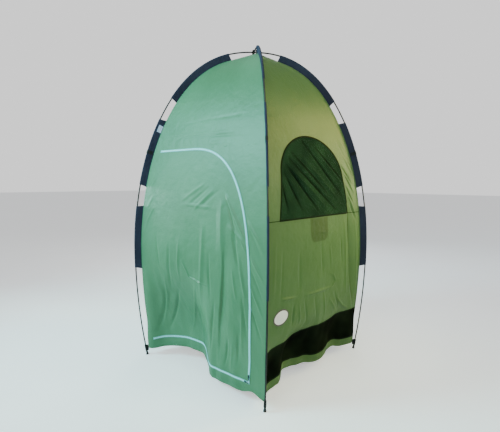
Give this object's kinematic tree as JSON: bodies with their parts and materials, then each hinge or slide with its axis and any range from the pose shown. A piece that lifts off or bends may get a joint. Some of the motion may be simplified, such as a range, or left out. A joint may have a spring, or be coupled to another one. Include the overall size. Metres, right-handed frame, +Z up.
{
  "type": "toilet tent",
  "caption": "Tall narrow privacy tent: crossed bent poles in sleeves hold four cloth walls, with a zipped door, an arched mesh window and a mesh vent above the hem.",
  "frame": {"origin": "on the ground, at the middle of the four pole feet", "axes": "+Z up; the door wall faces -Y and the window wall faces +X"},
  "size_m": [1.0908, 1.0908, 1.965],
  "materials": {
    "door_cloth": "thin green polyester taffeta, slightly shiny",
    "wall_cloth": "the same cloth, lit from behind and more yellow",
    "sleeve_cloth": "navy woven polyester",
    "mesh_cloth": "fine dark insect netting",
    "webbing": "black woven tape and elastic cord",
    "fibreglass": "dark painted fibreglass tube, satin",
    "zip_tape": "pale woven zip tape",
    "zip_metal": "dark nickel plate",
    "label": "pale woven label, left blank",
    "badge": "pale sewn patch, left blank",
    "tip_plastic": "black moulded plastic"
  },
  "bodies": {
    "tent_body": {"lower_pole_section_1": "fibreglass", "lower_pole_section_2": "fibreglass", "lower_pole_section_3": "fibreglass", "lower_pole_section_4": "fibreglass", "lower_pole_section_5": "fibreglass", "lower_pole_section_6": "fibreglass", "lower_pole_section_7": "fibreglass", "lower_pole_shock_cord": "webbing", "upper_pole_section_1": "fibreglass", "upper_pole_section_2": "fibreglass", "upper_pole_section_3": "fibreglass", "upper_pole_section_4": "fibreglass", "upper_pole_section_5": "fibreglass", "upper_pole_section_6": "fibreglass", "upper_pole_section_7": "fibreglass", "upper_pole_shock_cord": "webbing", "upper_sleeve_left": "sleeve_cloth", "middle_sleeve_left": "sleeve_cloth", "lower_sleeve_left": "sleeve_cloth", "sleeve_band_left": "webbing", "pole_tip_left": "tip_plastic", "corner_strap_left": "webbing", "upper_sleeve_right": "sleeve_cloth", "middle_sleeve_right": "sleeve_cloth", "lower_sleeve_right": "sleeve_cloth", "sleeve_band_right": "webbing", "pole_tip_right": "tip_plastic", "corner_strap_right": "webbing", "upper_sleeve_front": "sleeve_cloth", "middle_sleeve_front": "sleeve_cloth", "lower_sleeve_front": "sleeve_cloth", "sleeve_band_front": "webbing", "pole_tip_front": "tip_plastic", "corner_strap_front": "webbing", "upper_sleeve_rear": "sleeve_cloth", "middle_sleeve_rear": "sleeve_cloth", "lower_sleeve_rear": "sleeve_cloth", "sleeve_band_rear": "webbing", "pole_tip_rear": "tip_plastic", "corner_strap_rear": "webbing", "blank_label": "label", "door_wall": "door_cloth", "zip_tape_wall": "zip_tape", "window_wall": "wall_cloth", "window_mesh": "mesh_cloth", "vent_mesh": "mesh_cloth", "hem_skirt": "wall_cloth", "back_wall": "wall_cloth", "left_wall": "door_cloth", "inner_pocket": "wall_cloth", "blank_badge": "badge", "crown_tie": "webbing"},
    "door": {"door_flap": "door_cloth", "zip_tape_flap": "zip_tape"},
    "side_slider": {"side_zip_slider": "zip_metal"},
    "side_puller": {"side_zip_puller": "zip_metal"},
    "bottom_slider": {"bottom_zip_slider": "zip_metal"},
    "bottom_puller": {"bottom_zip_puller": "zip_metal"}
  },
  "joints": [
    {"name": "door_swing", "type": "hinge", "parent": "tent_body", "child": "door", "pos_m": [-0.38, -0.51283, 0.7], "axis": [0, 0, -1], "range_deg": [0, 150]},
    {"name": "side_slider_travel", "type": "slide", "parent": "door", "child": "side_slider", "axis": [0.0507, -0.0633, 0.9967], "range_m": [0, 0.3]},
    {"name": "side_puller_swing", "type": "hinge", "parent": "side_slider", "child": "side_puller", "pos_m": [0.38683, -0.49735, 0.14788], "axis": [-1, 0, 0], "range_deg": [0, 150]},
    {"name": "bottom_slider_travel", "type": "slide", "parent": "door", "child": "bottom_slider", "axis": [-1, 0, 0], "range_m": [0, 0.22]},
    {"name": "bottom_puller_swing", "type": "hinge", "parent": "bottom_slider", "child": "bottom_puller", "pos_m": [0.364, -0.49674, 0.11188], "axis": [0, 0.0168, -0.9999], "range_deg": [0, 150]}
  ]
}
